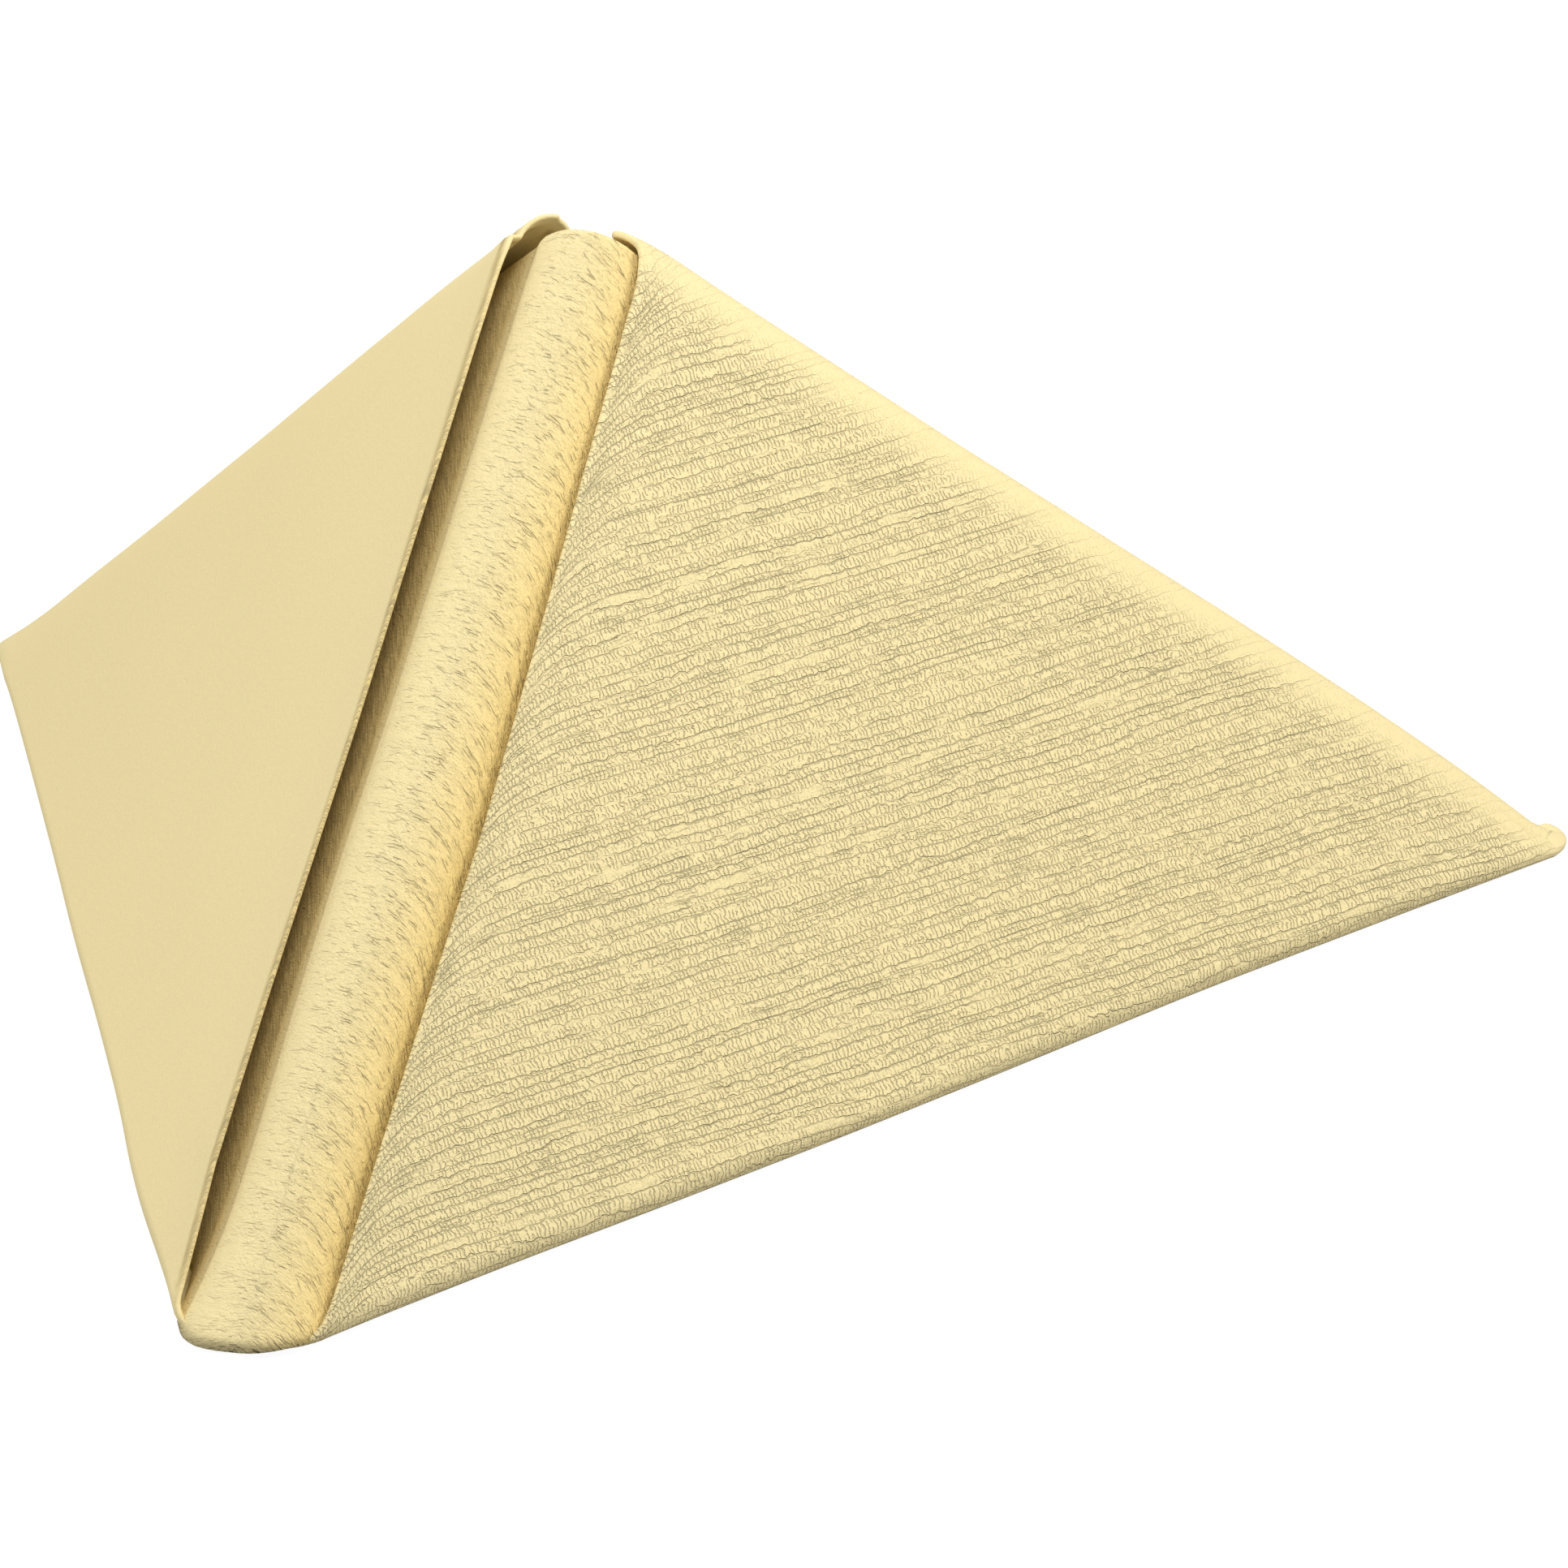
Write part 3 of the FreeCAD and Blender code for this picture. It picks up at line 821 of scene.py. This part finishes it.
    # the long creases across the lines
    across = math("MULTIPLY_ADD", v, 0.10, math("MULTIPLY_ADD", jitter, 0.5, u))
    slubs = cracks(across, v, paper["slubSpacing"], 60.0, 0.022)
    slubs = math("MULTIPLY", slubs, mapRange(noise(u, v, 9.0, 8.0, 1.0), 0.54, 0.64))

    # the strip's short creases
    creases = cracks(math("MULTIPLY_ADD", bend, 3.0, u), wavy, 2.4, 0.62, 0.15)
    creases = math("MULTIPLY", creases, mapRange(noise(u, v, 1.5, 1.0, 2.0), 0.44, 0.66))

    crumple = noise(u, wavy, 0.75, 0.45, 3.0, 0.6)
    grain = noise(u, v, 0.26, 0.22, 2.0, 0.6)

    # all the grooves together, and the soft relief that they are cut into
    fineLines = math("MULTIPLY", fineLines, paper["fineDepth"])
    grooves = math("MULTIPLY_ADD", longLines, paper["lineDepth"], fineLines)
    grooves = math("ADD", grooves, math("MULTIPLY", slubs, paper["slubDepth"]))
    grooves = math("MULTIPLY", grooves, lineDepth)
    creases = math("MULTIPLY", math("MULTIPLY", creases, paper["creaseDepth"]), attribute("creases"))
    grooves = math("ADD", grooves, creases)
    ladder = math("MULTIPLY", math("MULTIPLY", ladder, paper["ladderDepth"]), ladderDepth)
    grooves = math("ADD", grooves, ladder)
    soft = math("MULTIPLY_ADD", crumple, paper["crumpleDepth"], math("MULTIPLY", grain, paper["grainDepth"]))
    height = math("SUBTRACT", math("MULTIPLY", soft, crinkleDepth), grooves)

    # steep streaks in the painted shadow in the fold at the strip's left and in the painted shade along the
    # left flap's edge
    streakX = math("MULTIPLY", attribute("streakX"), 1000.0)
    streakY = math("MULTIPLY", attribute("streakY"), 1000.0)
    streaks = mapRange(noise(streakX, streakY, 0.26, 4.0, 2.0), 0.38, 0.60)

    bump = nodes.new("ShaderNodeBump")
    bump.inputs["Strength"].default_value = 1.0
    bump.inputs["Distance"].default_value = paper["reliefHeight"]
    links.new(height, bump.inputs["Height"])
    links.new(bump.outputs[0], shader.inputs["Normal"])

    # the paper's colour, darker in its grooves as painted shade
    colour = nodes.new("ShaderNodeMix")
    colour.data_type = "RGBA"
    colour.inputs[6].default_value = (*paper["colour"], 1)
    colour.inputs[7].default_value = (*paper["grooveShadeColour"], 1)
    links.new(math("MULTIPLY", grooves, paper["grooveShadeShare"], clamp=True), colour.inputs[0])
    # painted warm light in the strip's folds and along the left flap's edge
    warmLightMix = nodes.new("ShaderNodeMix")
    warmLightMix.data_type = "RGBA"
    warmLightMix.inputs[7].default_value = (*paper["warmLightColour"], 1)
    links.new(attribute("paintedWarmLight"), warmLightMix.inputs[0])
    links.new(colour.outputs[2], warmLightMix.inputs[6])
    # painted shadow in the strip's left fold and painted shade along the left flap's edge, broken into
    # streaks
    dark = nodes.new("ShaderNodeMix")
    dark.data_type = "RGBA"
    dark.inputs[7].default_value = (*paper["shadeColour"], 1)
    streaky = math("MULTIPLY_ADD", streaks, 0.62, 0.36)
    links.new(math("MULTIPLY", attribute("shade"), streaky), dark.inputs[0])
    links.new(warmLightMix.outputs[2], dark.inputs[6])
    links.new(dark.outputs[2], shader.inputs["Base Color"])
    shader.inputs["Roughness"].default_value = paper["roughness"]
    shader.inputs["Specular IOR Level"].default_value = paper["specular"]
    return material


napkin.data.materials.append(makePaper())
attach(napkin, "root")
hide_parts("napkin")

# the camera, fitted to the photograph's edges
camera = {
    "turn": 18.1,                        # degrees to the right of the front
    "height": 22.0,                      # degrees above level
    "distance": 1.20,
    "target": (0.0358, 0.0758, 0.0400),  # from the sharp front corner
    "pixelsPerMetre": 11679.0,           # at the target
    "photoSize": 1932,                   # pixels
    "sensor": 36.0,                      # millimetres
}
cameraTurn, cameraHeight = np.radians(camera["turn"]), np.radians(camera["height"])
level = np.cos(cameraHeight)
back = np.array([np.sin(cameraTurn) * level, -np.cos(cameraTurn) * level, np.sin(cameraHeight)])
eye = np.array(camera["target"]) + originShift + back * camera["distance"]
lensData = bpy.data.cameras.new("photoCamera")
lensData.sensor_width = camera["sensor"]
lensData.sensor_fit = "HORIZONTAL"
lensData.lens = camera["sensor"] * camera["pixelsPerMetre"] * camera["distance"] / camera["photoSize"]
lensData.clip_start = 0.05
lensData.clip_end = 20.0
photoCamera = bpy.data.objects.new("photoCamera", lensData)
bpy.context.scene.collection.objects.link(photoCamera)
rightWay = np.cross(-back, upright)
rightWay /= np.linalg.norm(rightWay)
upWay = np.cross(rightWay, -back)
photoCamera.matrix_world = Matrix([
    [rightWay[0], upWay[0], back[0], eye[0]],
    [rightWay[1], upWay[1], back[1], eye[1]],
    [rightWay[2], upWay[2], back[2], eye[2]],
    [0, 0, 0, 1],
])
bpy.context.scene.camera = photoCamera
print("camera placed")

# what a user would change in the studio: each lamp's place and aim in metres, power in watts, and size
lamps = {
    "keyLamp": ((-1.0, -0.10, 0.64), (0, 0, 0.03), 3.75, 0.15),
    "sideLamp": ((0.52, 0.0, 0.34), (0, 0, 0.03), 1.28, 0.25),
    "topLamp": ((0.09, -0.10, 0.40), (0.02, 0, 0.04), 0.65, 0.15),
}
studio = {
    "worldStrength": 0.575,
    "floorReach": 3.0,          # metres each way
    "floorTone": 0.45,          # the floor as the paper sees it
    "floorToneSeen": 0.95,      # and as the camera does
    "glow": 1.05,               # strength of the plain white that the camera sees it mixed with
    "glowShare": 0.90,
}


def addLamp(name, place, aim, power, size):
    data = bpy.data.lights.new(name, "AREA")
    data.energy = power
    data.shape = "DISK"
    data.size = size
    lamp = bpy.data.objects.new(name, data)
    bpy.context.scene.collection.objects.link(lamp)
    lamp.location = place
    lamp.rotation_euler = (Vector(aim) - Vector(place)).to_track_quat("-Z", "Y").to_euler()


def makeFloor():
    # a pale floor that is nearly white where the camera sees it, and still shows the napkin's shadow
    mesh = bpy.data.meshes.new("floor")
    reach = studio["floorReach"]
    corners = [(-reach, -reach, 0), (reach, -reach, 0), (reach, reach, 0), (-reach, reach, 0)]
    mesh.from_pydata(corners, [], [(0, 1, 2, 3)])
    floor = bpy.data.objects.new("floor", mesh)
    bpy.context.scene.collection.objects.link(floor)
    material = bpy.data.materials.new("paleFloor")
    material.use_nodes = True
    nodes, links = material.node_tree.nodes, material.node_tree.links
    shader = nodes["Principled BSDF"]
    shader.inputs["Roughness"].default_value = 0.9
    shader.inputs["Specular IOR Level"].default_value = 0.1
    tone = nodes.new("ShaderNodeMix")
    tone.data_type = "RGBA"
    tone.inputs[6].default_value = (*[studio["floorTone"]] * 3, 1)
    tone.inputs[7].default_value = (*[studio["floorToneSeen"]] * 3, 1)
    links.new(tone.outputs[2], shader.inputs["Base Color"])
    glow = nodes.new("ShaderNodeEmission")
    glow.inputs["Strength"].default_value = studio["glow"]
    path = nodes.new("ShaderNodeLightPath")
    much = nodes.new("ShaderNodeMath")
    much.operation = "MULTIPLY"
    much.inputs[1].default_value = studio["glowShare"]
    mix = nodes.new("ShaderNodeMixShader")
    links.new(path.outputs["Is Camera Ray"], much.inputs[0])
    links.new(path.outputs["Is Camera Ray"], tone.inputs[0])
    links.new(much.outputs[0], mix.inputs[0])
    links.new(shader.outputs[0], mix.inputs[1])
    links.new(glow.outputs[0], mix.inputs[2])
    links.new(mix.outputs[0], nodes["Material Output"].inputs[0])
    mesh.materials.append(material)


for lampName, lampValues in lamps.items():
    addLamp(lampName, *lampValues)
makeFloor()
world = bpy.data.worlds.new("studio")
bpy.context.scene.world = world
world.use_nodes = True
background = world.node_tree.nodes["Background"]
background.inputs["Color"].default_value = (1, 1, 1, 1)
background.inputs["Strength"].default_value = studio["worldStrength"]
bpy.context.scene.view_settings.view_transform = "Standard"
print("studio made")
